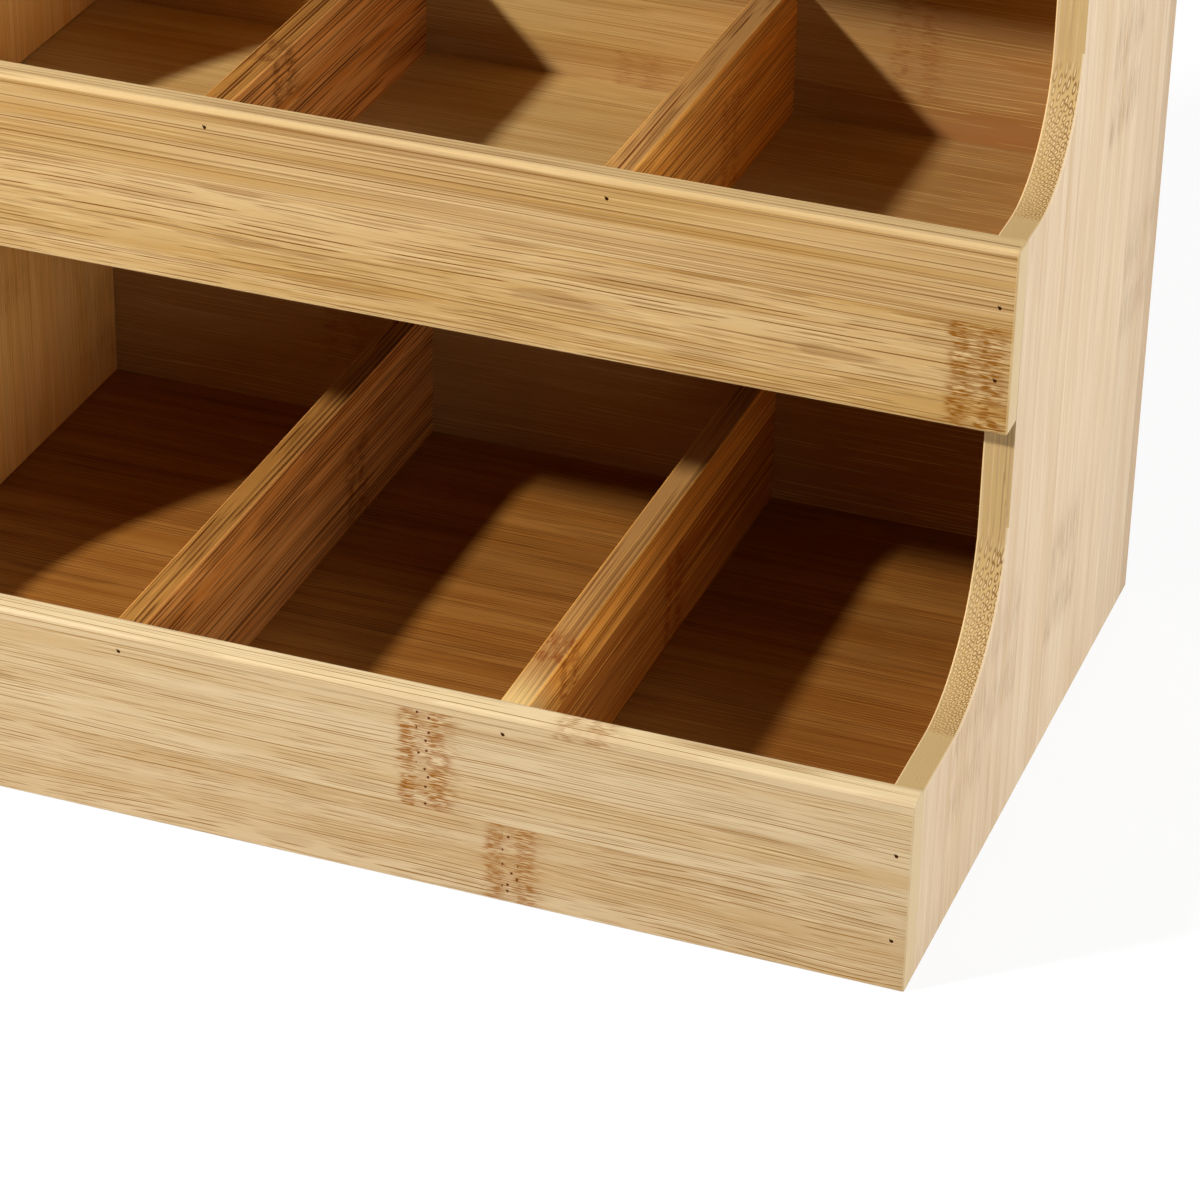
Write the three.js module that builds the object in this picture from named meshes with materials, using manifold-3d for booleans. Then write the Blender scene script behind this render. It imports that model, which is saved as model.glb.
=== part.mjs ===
// A three-tier bamboo tea bag organizer that stands on a worktop.
// Two shaped side panels hold a floor, two shelves and a back panel in grooves.
// A rail is pinned across the front of each tier, and two low dividers behind it make three bins.
// Millimetres, +Z up, the front faces -Y, and the origin is the middle of the footprint on the worktop.

import * as THREE from 'three';
import { mergeVertices } from 'three/addons/utils/BufferGeometryUtils.js';
import Module from 'manifold-3d';

const wasm = await Module();
wasm.setup();

// Footprint
const WIDTH = 242;
const DEPTH = 162;

// Board thicknesses
const SIDE_THICKNESS = 6;
const RAIL_THICKNESS = 6;
const FLOOR_THICKNESS = 6;
const BACK_THICKNESS = 6;
const DIVIDER_THICKNESS = 6;

// Heights: the lowest rail, the rails of the two shelves, and the clear mouth from a rail to the rail above
const LOWER_RAIL_HEIGHT = 42;
const SHELF_RAIL_HEIGHT = 38;
const MOUTH_HEIGHT = 52.3;

// Steps back from the front of one rail to the front of the rail above
const MIDDLE_STEP = 48.3;
const TOP_STEP = 31.7;

// Underside of the floor above the worktop, and underside of a shelf above its rail's bottom edge
const FLOOR_LIFT = 4.4;
const SHELF_LIFT = 2.1;

// Clear width of the middle bin: the two outer bins share the rest
const LOWER_MIDDLE_BIN = 74;
const SHELF_MIDDLE_BIN = 76.5;

// Hollow curves of the side panels' front edges, above the lower rail and above the middle rail
const LOWER_CURVE_RADIUS = 30;
const UPPER_CURVE_RADIUS = 24;

// Rear face of the back panel in front of the side panels' back edges
const BACK_INSET = 3.8;

// The side panels' flats, the dividers and the back panel end this far under the rail tops
const TOP_DROP = 0.5;

// Rounding of the rails' top edges
const RAIL_EASE = 1;

// Grooves in the side panels and the clearance round a board in them
const GROOVE_DEPTH = 2;
const GROOVE_GAP = 0.2;

// Headless pins through the rails, set under the surface, and the clearance round them
const PIN_DIAMETER = 0.64;
const PIN_LENGTH = 18;
const PIN_POINT = 1.2;
const PIN_SET = 0.4;
const PIN_GAP = 0.2;

// Pin places: end pins from the rail's bottom and top edges, divider pins from its top edge
const END_PIN_RISE = 11;
const END_PIN_DROP = 12;
const DIVIDER_PIN_DROP = 4;

// Facets: segments in each quarter curve's half, and sides of a pin
const CURVE_SEGMENTS = 8;
const PIN_SIDES = 12;

// Overshoot of a cutter past the face that it opens
const CUT_MARGIN = 1;

// Colours of the bamboo in each position, and of the pins
const RAIL_COLOUR = 0xdcbc84;
const SIDE_COLOUR = 0xe0c8a2;
const INNER_COLOUR = 0xc29557;
const PIN_COLOUR = 0x4c3f35;

// The tiers from the lowest up, each with the places of its rail and floor
const tiers = [
  {
    name: 'lower',
    floorName: 'floor_board',
    railHeight: LOWER_RAIL_HEIGHT,
    step: 0,
    floorLift: FLOOR_LIFT,
    middleBin: LOWER_MIDDLE_BIN,
    curveRadius: LOWER_CURVE_RADIUS,
  },
  {
    name: 'middle',
    floorName: 'middle_shelf',
    railHeight: SHELF_RAIL_HEIGHT,
    step: MIDDLE_STEP,
    floorLift: SHELF_LIFT,
    middleBin: SHELF_MIDDLE_BIN,
    curveRadius: UPPER_CURVE_RADIUS,
  },
  {
    name: 'top',
    floorName: 'top_shelf',
    railHeight: SHELF_RAIL_HEIGHT,
    step: TOP_STEP,
    floorLift: SHELF_LIFT,
    middleBin: SHELF_MIDDLE_BIN,
  },
];
let nextFront = -DEPTH / 2;
let nextBottom = 0;
for (const tier of tiers) {
  nextFront += tier.step;
  tier.railFront = nextFront;
  tier.railBack = nextFront + RAIL_THICKNESS;
  tier.railBottom = nextBottom;
  tier.railTop = nextBottom + tier.railHeight;
  tier.flatTop = tier.railTop - TOP_DROP;
  tier.floorBottom = nextBottom + tier.floorLift;
  tier.floorTop = tier.floorBottom + FLOOR_THICKNESS;
  tier.dividerX = (tier.middleBin + DIVIDER_THICKNESS) / 2;
  nextBottom = tier.railTop + MOUTH_HEIGHT;
}

// Places that the whole case shares
const innerHalfWidth = WIDTH / 2 - SIDE_THICKNESS;
const sideCentreX = WIDTH / 2 - SIDE_THICKNESS / 2;
const backFront = DEPTH / 2 - BACK_INSET - BACK_THICKNESS;
const caseTop = tiers[tiers.length - 1].flatTop;
const groovedWidth = 2 * (innerHalfWidth + GROOVE_DEPTH - GROOVE_GAP);
const sides = [
  { name: 'left', sign: -1 },
  { name: 'right', sign: 1 },
];

function toSolid(geometry) {
  const bare = geometry.clone();
  bare.deleteAttribute('normal');
  bare.deleteAttribute('uv');
  const merged = mergeVertices(bare);
  return new wasm.Manifold(new wasm.Mesh({
    numProp: 3,
    vertProperties: Float32Array.from(merged.attributes.position.array),
    triVerts: Uint32Array.from(merged.index.array),
  }));
}

function cutAway(geometry, cutters) {
  let solid = toSolid(geometry);
  for (const cutter of cutters) {
    solid = solid.subtract(toSolid(cutter));
  }
  const mesh = solid.getMesh();
  const result = new THREE.BufferGeometry();
  result.setAttribute('position', new THREE.BufferAttribute(mesh.vertProperties, 3));
  result.setIndex(new THREE.BufferAttribute(mesh.triVerts, 1));
  result.computeVertexNormals();
  return result;
}

// A box between two corners, each given as [x, y, z]
function boxBetween(low, high) {
  const size = high.map((value, axis) => value - low[axis]);
  const centre = high.map((value, axis) => (value + low[axis]) / 2);
  return new THREE.BoxGeometry(...size).translate(...centre);
}

// A profile drawn in (y, z), extruded along x between two places
function extrudeAlongX(profile, fromX, toX) {
  const options = { depth: toX - fromX, bevelEnabled: false, curveSegments: CURVE_SEGMENTS };
  const turnToX = new THREE.Matrix4().makeBasis(
    new THREE.Vector3(0, 1, 0),
    new THREE.Vector3(0, 0, 1),
    new THREE.Vector3(1, 0, 0),
  );
  return new THREE.ExtrudeGeometry(profile, options).applyMatrix4(turnToX).translate(fromX, 0, 0);
}

// Pins of one tier's rail: two into each side panel and one into each divider
function pinsOf(tier) {
  return sides.flatMap((side) => [
    { name: `${side.name}_low`, x: side.sign * sideCentreX, z: tier.railBottom + END_PIN_RISE },
    { name: `${side.name}_high`, x: side.sign * sideCentreX, z: tier.railTop - END_PIN_DROP },
    { name: `${side.name}_divider`, x: side.sign * tier.dividerX, z: tier.railTop - DIVIDER_PIN_DROP },
  ]);
}

function pinHole(tier, pin) {
  const start = tier.railFront - CUT_MARGIN;
  const end = tier.railFront + PIN_SET + PIN_LENGTH + PIN_GAP;
  const radius = PIN_DIAMETER / 2 + PIN_GAP;
  const hole = new THREE.CylinderGeometry(radius, radius, end - start, PIN_SIDES);
  return hole.translate(pin.x, (start + end) / 2, pin.z);
}

function pinHolesOf(tier) {
  return pinsOf(tier).map((pin) => pinHole(tier, pin));
}

function pinGeometry(tier, pin) {
  const radius = PIN_DIAMETER / 2;
  const outline = [
    new THREE.Vector2(0, 0),
    new THREE.Vector2(radius, 0),
    new THREE.Vector2(radius, PIN_LENGTH - PIN_POINT),
    new THREE.Vector2(0, PIN_LENGTH),
  ];
  const shaft = new THREE.LatheGeometry(outline, PIN_SIDES);
  return shaft.translate(pin.x, tier.railFront + PIN_SET, pin.z);
}

// Outline of a side panel: up behind each rail, along a flat and round a hollow curve to the rail above
function sideProfile() {
  const profile = new THREE.Shape();
  profile.moveTo(tiers[0].railBack, 0);
  tiers.forEach((tier, index) => {
    profile.lineTo(tier.railBack, tier.flatTop);
    const above = tiers[index + 1];
    if (above) {
      const room = Math.min(above.railBack - tier.railBack, above.railBottom - tier.flatTop);
      const radius = Math.min(tier.curveRadius, room);
      profile.lineTo(above.railBack - radius, tier.flatTop);
      profile.absarc(above.railBack - radius, tier.flatTop + radius, radius, -Math.PI / 2, 0, false);
    }
  });
  profile.lineTo(DEPTH / 2, caseTop);
  profile.lineTo(DEPTH / 2, 0);
  return profile;
}

// Grooves cut into the inner face of one side panel: one for each floor and one for the back panel
function groovesOf(side) {
  const mouthX = side.sign * (innerHalfWidth - CUT_MARGIN);
  const bottomX = side.sign * (innerHalfWidth + GROOVE_DEPTH);
  const lowX = Math.min(mouthX, bottomX);
  const highX = Math.max(mouthX, bottomX);
  const floorGrooves = tiers.map((tier) => boxBetween(
    [lowX, tier.railBack - CUT_MARGIN, tier.floorBottom - GROOVE_GAP],
    [highX, backFront, tier.floorTop + GROOVE_GAP],
  ));
  const backGroove = boxBetween(
    [lowX, backFront - GROOVE_GAP, -CUT_MARGIN],
    [highX, backFront + BACK_THICKNESS + GROOVE_GAP, caseTop + CUT_MARGIN],
  );
  return [...floorGrooves, backGroove];
}

function sidePanelGeometry(side) {
  const outerX = side.sign * (WIDTH / 2);
  const innerX = side.sign * innerHalfWidth;
  const panel = extrudeAlongX(sideProfile(), Math.min(outerX, innerX), Math.max(outerX, innerX));
  return cutAway(panel, [...groovesOf(side), ...tiers.flatMap(pinHolesOf)]);
}

function backPanelGeometry() {
  return boxBetween(
    [-groovedWidth / 2, backFront, 0],
    [groovedWidth / 2, backFront + BACK_THICKNESS, caseTop],
  );
}

function floorGeometry(tier) {
  return boxBetween(
    [-groovedWidth / 2, tier.railBack, tier.floorBottom],
    [groovedWidth / 2, backFront, tier.floorTop],
  );
}

// A rail with rounded top edges, drilled for its pins
function railGeometry(tier) {
  const { railFront, railBack, railBottom, railTop } = tier;
  const ease = Math.min(RAIL_EASE, RAIL_THICKNESS / 2);
  const profile = new THREE.Shape();
  profile.moveTo(railFront, railBottom);
  profile.lineTo(railBack, railBottom);
  profile.absarc(railBack - ease, railTop - ease, ease, 0, Math.PI / 2, false);
  profile.absarc(railFront + ease, railTop - ease, ease, Math.PI / 2, Math.PI, false);
  return cutAway(extrudeAlongX(profile, -WIDTH / 2, WIDTH / 2), pinHolesOf(tier));
}

function dividerGeometry(tier, side) {
  const centreX = side.sign * tier.dividerX;
  const board = boxBetween(
    [centreX - DIVIDER_THICKNESS / 2, tier.railBack, tier.floorTop],
    [centreX + DIVIDER_THICKNESS / 2, backFront, tier.flatTop],
  );
  return cutAway(board, pinHolesOf(tier));
}

function bamboo(colour) {
  return new THREE.MeshStandardMaterial({ color: colour, roughness: 0.55, metalness: 0 });
}

function steel() {
  return new THREE.MeshStandardMaterial({ color: PIN_COLOUR, roughness: 0.45, metalness: 1 });
}

const organizer = new THREE.Group();

function addPiece(name, geometry, material) {
  const piece = new THREE.Mesh(geometry, material);
  piece.name = name;
  organizer.add(piece);
}

for (const side of sides) {
  addPiece(`${side.name}_side_panel`, sidePanelGeometry(side), bamboo(SIDE_COLOUR));
}
addPiece('back_panel', backPanelGeometry(), bamboo(INNER_COLOUR));
for (const tier of tiers) {
  addPiece(tier.floorName, floorGeometry(tier), bamboo(INNER_COLOUR));
  addPiece(`${tier.name}_rail`, railGeometry(tier), bamboo(RAIL_COLOUR));
  for (const side of sides) {
    addPiece(`${tier.name}_${side.name}_divider`, dividerGeometry(tier, side), bamboo(INNER_COLOUR));
  }
  for (const pin of pinsOf(tier)) {
    addPiece(`${tier.name}_rail_pin_${pin.name}`, pinGeometry(tier, pin), steel());
  }
}

export default organizer;
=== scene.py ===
# Looks of a three-tier bamboo tea bag organizer: eased and drilled boards, bamboo finishes, light and camera.
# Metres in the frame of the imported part: +Z is up, the front faces -Y, the origin is under the middle.

import math
from typing import NamedTuple

import bmesh
import bpy
from mathutils import Matrix, Vector


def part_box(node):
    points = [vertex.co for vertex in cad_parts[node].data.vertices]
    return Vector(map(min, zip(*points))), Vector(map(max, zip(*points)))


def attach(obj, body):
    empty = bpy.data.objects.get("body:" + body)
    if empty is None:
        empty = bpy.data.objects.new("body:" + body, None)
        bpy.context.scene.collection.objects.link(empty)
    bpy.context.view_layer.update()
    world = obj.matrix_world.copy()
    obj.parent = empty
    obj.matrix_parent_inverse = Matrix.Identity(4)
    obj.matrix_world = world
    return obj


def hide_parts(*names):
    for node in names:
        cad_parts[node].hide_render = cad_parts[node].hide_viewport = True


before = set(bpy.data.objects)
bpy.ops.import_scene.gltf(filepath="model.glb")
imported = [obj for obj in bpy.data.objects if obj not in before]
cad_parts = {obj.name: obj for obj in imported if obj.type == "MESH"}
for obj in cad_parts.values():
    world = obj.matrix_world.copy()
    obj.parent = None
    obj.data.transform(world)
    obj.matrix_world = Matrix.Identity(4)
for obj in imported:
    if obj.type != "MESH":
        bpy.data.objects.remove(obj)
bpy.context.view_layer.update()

MM = 0.001
TIERS = ("lower", "middle", "top")
SIDES = {"left": -1, "right": 1}
FLOORS = {"lower": "floor_board", "middle": "middle_shelf", "top": "top_shelf"}

# Hollow curves of the side panels above the lower and the middle rail
CURVE_RADIUS = {"lower": 30 * MM, "middle": 24 * MM}
CURVE_STEPS = 24

# Grooves in the side panels, the hairline left round a board in them, and a place past the ends of any groove
GROOVE_DEPTH = 2 * MM
GROOVE_GAP = 0.2 * MM
FAR = 1.0

# Sanded edges: the rails' top edges, the other edges that a hand meets, and the hidden arrises
RAIL_EASE = 1.0 * MM
RAIL_EASE_STEPS = 5
HAND_EASE = 0.4 * MM
ARRIS_EASE = 0.2 * MM
EASE_STEPS = 3

# Meshes: from where an edge is sharp, two faces are one, a face points along an axis, and two corners are one
SHARP_ANGLE = math.radians(40)
FLAT_ANGLE = math.radians(0.5)
FACING = 0.99
WELD = 0.005 * MM

# Holes round the sunk pins, with the corner furthest to one side torn out a little
PIN_HOLE_RADIUS = 0.35 * MM
PIN_HOLE_DEPTH = 1.3 * MM
PIN_HOLE_TEAR_SIDE = Vector((-2, 0, 1))
PIN_HOLE_TEAR = Vector((-0.13, 0, 0.38)) * MM

# The share of a square's half side that is cut off each way at its corners to make it eight-sided
OCTAGON_CUT = 2 - math.sqrt(2)

# Camera: lens in millimetres on a 36 mm sensor, turned left, down and over
CAMERA_PLACE = Vector((0.3006, -0.7449, 0.4921))
CAMERA_PAN = math.radians(20.0)
CAMERA_TILT = math.radians(30.75)
CAMERA_ROLL = math.radians(1.08)
CAMERA_LENS = 134.6
SENSOR_WIDTH = 36.0

# Lamps: a small hard key from the upper left, and soft panels on the right, low in front, above and behind,
# each with its place, size and power, then the point that they face and the light from all round
KEY_PLACE = Vector((-0.781, -0.832, 0.854))
KEY_SIZE = 0.1
KEY_POWER = 22.5
PANELS = {
    "right_panel": (Vector((1.5, -0.1, 0.5)), 1.2, 17.2),
    "low_panel": (Vector((1.3, -1.1, 0.3)), 1.0, 5.6),
    "top_panel": (Vector((0.0, -0.3, 1.6)), 1.0, 6.0),
    "rear_panel": (Vector((-0.5, 1.6, 0.6)), 1.2, 14.0),
}
LIT_CENTRE = Vector((0, 0, 0.09))
FILL_LEVEL = 0.01

# White floor: its size, how much of what the camera sees of it glows, and how much light it throws back
FLOOR_SIZE = 6.0
FLOOR_GLOW = 0.9
FLOOR_BOUNCE = 0.6
WHITE = (1.0, 1.0, 1.0, 1.0)


def srgb(red, green, blue):
    """A colour given as it shows on a screen, 0 to 255, as the linear colour that a socket takes."""
    def linear(value):
        share = value / 255
        return share / 12.92 if share <= 0.04045 else ((share + 0.055) / 1.055) ** 2.4
    return (linear(red), linear(green), linear(blue), 1.0)


class Wiring:
    """Adds nodes to one node tree and joins their sockets."""

    def __init__(self, tree):
        self.tree = tree

    def node(self, kind, feeds, **settings):
        """A node whose inputs, by name or number, are fed from a socket or set to a value."""
        made = self.tree.nodes.new(kind)
        for name, value in settings.items():
            setattr(made, name, value)
        for key, value in feeds.items():
            if isinstance(value, bpy.types.NodeSocket):
                self.tree.links.new(value, made.inputs[key])
            else:
                made.inputs[key].default_value = value
        return made

    def group(self, tree, feeds):
        return self.node("ShaderNodeGroup", feeds, node_tree=tree).outputs

    def math(self, operation, *values):
        return self.node("ShaderNodeMath", dict(enumerate(values)), operation=operation).outputs[0]

    def product(self, first, *others):
        for other in others:
            first = self.math("MULTIPLY", first, other)
        return first

    def scaled(self, value, factor, start=0.0):
        return self.math("MULTIPLY_ADD", value, factor, start)

    def between(self, share, low, high):
        """The value at this share of the way from low to high."""
        return self.scaled(share, high - low, low)

    def larger(self, first, *others):
        for other in others:
            first = self.math("MAXIMUM", first, other)
        return first

    def distance(self, first, second):
        return self.math("ABSOLUTE", self.math("SUBTRACT", first, second))

    def vector(self, operation, *values):
        return self.node("ShaderNodeVectorMath", dict(enumerate(values)), operation=operation).outputs[0]

    def dot(self, first, second):
        feeds = {0: first, 1: second}
        return self.node("ShaderNodeVectorMath", feeds, operation="DOT_PRODUCT").outputs[1]

    def parts(self, vector):
        return self.node("ShaderNodeSeparateXYZ", {0: vector}).outputs

    def joined(self, x, y, z):
        return self.node("ShaderNodeCombineXYZ", {0: x, 1: y, 2: z}).outputs[0]

    def rise(self, value, start, end):
        """0 below start, 1 above end, and a smooth rise between them."""
        feeds = {"Value": value, "From Min": start, "From Max": end}
        return self.node("ShaderNodeMapRange", feeds, interpolation_type="SMOOTHSTEP").outputs["Result"]

    def fall(self, value, start, end):
        """1 below start, 0 above end, and a smooth fall between them."""
        return self.math("SUBTRACT", 1.0, self.rise(value, start, end))

    def window(self, value, start, full, fade, end):
        """0 outside start and end, 1 between full and fade."""
        return self.product(self.rise(value, start, full), self.fall(value, fade, end))

    def luck(self, key):
        """Three random numbers that belong to a key."""
        chosen = self.node("ShaderNodeTexWhiteNoise", {"W": key}, noise_dimensions="1D").outputs["Color"]
        return self.parts(chosen)

    def tide(self, value):
        """A smooth random rise and fall along a line, about one wave for each unit."""
        feeds = {"W": value, "Scale": 1.0, "Detail": 1.0}
        return self.node("ShaderNodeTexNoise", feeds, noise_dimensions="1D").outputs["Fac"]

    def noise(self, place, cell, detail=1.0, output="Fac"):
        """Noise whose cells have these three lengths."""
        stretched = self.vector("DIVIDE", place, cell)
        feeds = {"Vector": stretched, "Scale": 1.0, "Detail": detail}
        return self.node("ShaderNodeTexNoise", feeds).outputs[output]

    def cells(self, place, cell, spread=1.0):
        """Scattered points on the x and y of a place, one in each square cell of this width."""
        feeds = {"Vector": place, "Scale": 1 / cell, "Randomness": spread}
        return self.node("ShaderNodeTexVoronoi", feeds, voronoi_dimensions="2D").outputs

    def blend(self, share, first, second, kind="MIX"):
        """The first colour, with this share of the second laid over it."""
        feeds = {0: share, 6: first, 7: second}
        return self.node("ShaderNodeMix", feeds, data_type="RGBA", blend_type=kind).outputs[2]


FLOAT = "NodeSocketFloat"
VECTOR = "NodeSocketVector"
COLOUR = "NodeSocketColor"


def new_group(name, inputs, outputs):
    """A shader node group with these sockets: its wiring and its inputs."""
    tree = bpy.data.node_groups.new(name, "ShaderNodeTree")
    for socket, kind in inputs.items():
        tree.interface.new_socket(name=socket, in_out="INPUT", socket_type=kind)
    for socket, kind in outputs.items():
        tree.interface.new_socket(name=socket, in_out="OUTPUT", socket_type=kind)
    wiring = Wiring(tree)
    start = wiring.node("NodeGroupInput", {})
    return wiring, start.outputs


def close_group(wiring, feeds):
    wiring.node("NodeGroupOutput", feeds)
    return wiring.tree


def new_material(name):
    """An empty material and its wiring."""
    material = bpy.data.materials.new(name)
    material.use_nodes = True
    material.node_tree.nodes.clear()
    return material, Wiring(material.node_tree)


# Bamboo, in millimetres along the grain, across the strips and through the board
STRIP_WIDTH = 22.0
BOARD_THICKNESS = 6.0

# The sheets of fibre lean this far across the strips for each millimetre through the board
SHEET_LEAN = 0.8

# How squarely a face cuts the grain where lines fade out, where cut fibres show, and where a board ends
LINES_FADE = (0.05, 0.25)
FIBRES_CUT = (0.02, 0.24)
BOARD_END = (0.997, 0.9999)

# How squarely a face looks through the board where it stops being a rim
RIM_FADE = (0.3, 0.8)

# How far through the board, as a share of its thickness, the tones of the reverse become those of the face
FACE_START = (0.4, 0.6)

# Strips: the step between the keys of two boards, how far apart, along and across it, the grain of two strips
# may start, and the fade of a glue seam
SEED_STEP = 17.37
STRIP_JUMP = (900.0, 90.0)
SEAM_FADE = (0.03, 0.2)


def make_strips_group():
    """Which strip a place lies in, a random shade for that strip, its own grain, and the glue seams."""
    inputs = {"Place": VECTOR, "Seed": FLOAT}
    outputs = {"Grain": VECTOR, "Strip": FLOAT, "Shade": FLOAT, "Seam": FLOAT}
    w, given = new_group("bamboo_strips", inputs, outputs)
    across = w.math("DIVIDE", w.parts(given["Place"])["Y"], STRIP_WIDTH)
    strip = w.math("FLOOR", across)
    luck = w.luck(w.scaled(given["Seed"], SEED_STEP, strip))
    apart = w.joined(w.product(luck["X"], STRIP_JUMP[0]), w.product(luck["Y"], STRIP_JUMP[1]), 0.0)
    from_middle = w.distance(w.math("FRACT", across), 0.5)
    from_seam = w.product(w.math("SUBTRACT", 0.5, from_middle), STRIP_WIDTH)
    return close_group(w, {
        "Grain": w.vector("ADD", given["Place"], apart),
        "Strip": strip,
        "Shade": luck["Z"],
        "Seam": w.fall(from_seam, *SEAM_FADE),
    })


# Lines: the step between the keys of two pitches, where in its row a line may lie, how far apart two may
# start, from where on one shows, its least half width, the share of that at full strength, and its weight
PITCH_STEP = 31.7
LINE_PLACE = (0.2, 0.8)
LINE_JUMP = 700.0
LINE_SHOWS = (0.92, 1.12)
LEAST_HALF = 0.001
LINE_CORE = 0.4
LINE_WEIGHT = (0.4, 1.0)


def make_lines_group():
    """Thin lines along the grain, one in each row, that come and go along it."""
    inputs = {"Grain": VECTOR, "Pitch": FLOAT, "Run": FLOAT, "Width": FLOAT, "Share": FLOAT}
    w, given = new_group("bamboo_lines", inputs, {"Lines": FLOAT})
    grain = w.parts(given["Grain"])
    sheet = w.math("DIVIDE", w.scaled(grain["Z"], SHEET_LEAN, grain["Y"]), given["Pitch"])
    row = w.math("FLOOR", sheet)
    luck = w.luck(w.scaled(given["Pitch"], PITCH_STEP, row))
    from_line = w.distance(w.math("FRACT", sheet), w.between(luck["X"], *LINE_PLACE))
    along = w.math("DIVIDE", grain["X"], given["Run"])
    tide = w.tide(w.math("ADD", along, w.product(luck["Y"], LINE_JUMP)))
    shown = w.rise(w.math("ADD", tide, given["Share"]), *LINE_SHOWS)
    half = w.scaled(w.product(given["Width"], shown), 0.5, LEAST_HALF)
    line = w.fall(from_line, w.product(half, LINE_CORE), half)
    weight = w.product(shown, w.between(luck["Z"], *LINE_WEIGHT))
    return close_group(w, {"Lines": w.product(line, weight)})


class Lines(NamedTuple):
    """A layer of lines: pitch and run in millimetres, a line's width in pitches, how readily a line shows."""
    pitch: float
    run: float
    width: float
    share: float


# Figure: its layers of lines, how far and in what cells they wander, the zones they gather in and how much
# that counts, the bands of tone, and the fibres
LINE_LAYERS = {
    "Broad": Lines(pitch=5.1, run=60.0, width=0.50, share=0.42),
    "Bold": Lines(pitch=0.98, run=44.0, width=0.27, share=0.60),
    "Fine": Lines(pitch=0.53, run=28.0, width=0.45, share=0.56),
    "Light": Lines(pitch=0.77, run=34.0, width=0.45, share=0.52),
}
WANDER = 1.6
WANDER_CELL = (80.0, 13.0, 13.0)
ZONE_LENGTH = 34.0
ZONE_WIDTH = 3.4
ZONE_PULL = 0.8
BAND_CELL = (150.0, 5.0, 5.0)
BAND_FADE = (0.3, 0.7)
FIBRE_CELL = (9.0, 0.2, 0.2)


def make_figure_group(lines):
    """Masks of the lengthwise figure: tone bands, broad, bold and fine dark lines, light lines and fibre."""
    outputs = dict.fromkeys((*LINE_LAYERS, "Bands", "Fibre"), FLOAT)
    inputs = {"Grain": VECTOR, "Run": FLOAT, "Coarse": FLOAT}
    w, given = new_group("bamboo_figure", inputs, outputs)
    bend = w.math("DIVIDE", WANDER, given["Run"])
    wander = w.noise(given["Grain"], WANDER_CELL, output="Color")
    bent = w.vector("MULTIPLY_ADD", wander, w.joined(0.0, bend, bend), given["Grain"])
    zone = w.noise(bent, w.joined(w.product(given["Run"], ZONE_LENGTH), ZONE_WIDTH, ZONE_WIDTH))
    masks = {
        "Bands": w.rise(w.noise(bent, BAND_CELL, 2.0), *BAND_FADE),
        "Fibre": w.noise(bent, FIBRE_CELL, 2.0),
    }
    for name, layer in LINE_LAYERS.items():
        masks[name] = w.group(lines, {
            "Grain": bent,
            "Pitch": layer.pitch,
            "Width": w.product(given["Coarse"], layer.width),
            "Run": w.product(given["Run"], layer.run),
            "Share": w.scaled(zone, ZONE_PULL, layer.share - ZONE_PULL / 2),
        })["Lines"]
    return close_group(w, masks)


# Knuckles, in millimetres along the grain from their middle: the comb in front, the tail behind and the row
# of pits, each as where it starts, is full, fades and ends, and how far the edges are ragged
COMB = (-6.5, -4.0, -2.0, -0.6)
TAIL = (0.4, 1.6, 3.0, 10.0)
KNUCKLE_REACH = (*COMB[:2], *TAIL[2:])
PIT_ROW = (-1.7, -1.5, 1.7, 1.9)
RAGGED = 5.0

# Cells of the ragged edges, clumps, dashes, wash and pits, and from where on each of them shows
RAGGED_CELL = (14.0, 1.1, 1.0)
CLUMP_CELL = (5.5, 1.9, 1.0)
CLUMP_SHOWS = (0.24, 0.50)
DASH_CELL = (3.0, 0.31, 1.0)
DASH_SHOWS = (0.46, 0.58)
WASH_CELL = (3.4, 1.2, 1.0)
WASH_SHOWS = (0.40, 0.64)
PIT_CELL = 2.0
PIT_RADIUS = (0.10, 0.19)
PIT_SHOWS = (0.40, 0.42)

# Strengths over which a knuckle's heart fills, how full it is at least and at most, and strengths with pits
HEART_STRENGTH = (1.1, 1.6)
HEART_FILL = (0.45, 0.85)
PITTED_STRENGTH = (0.75, 0.9, 1.15, 1.25)


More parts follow.
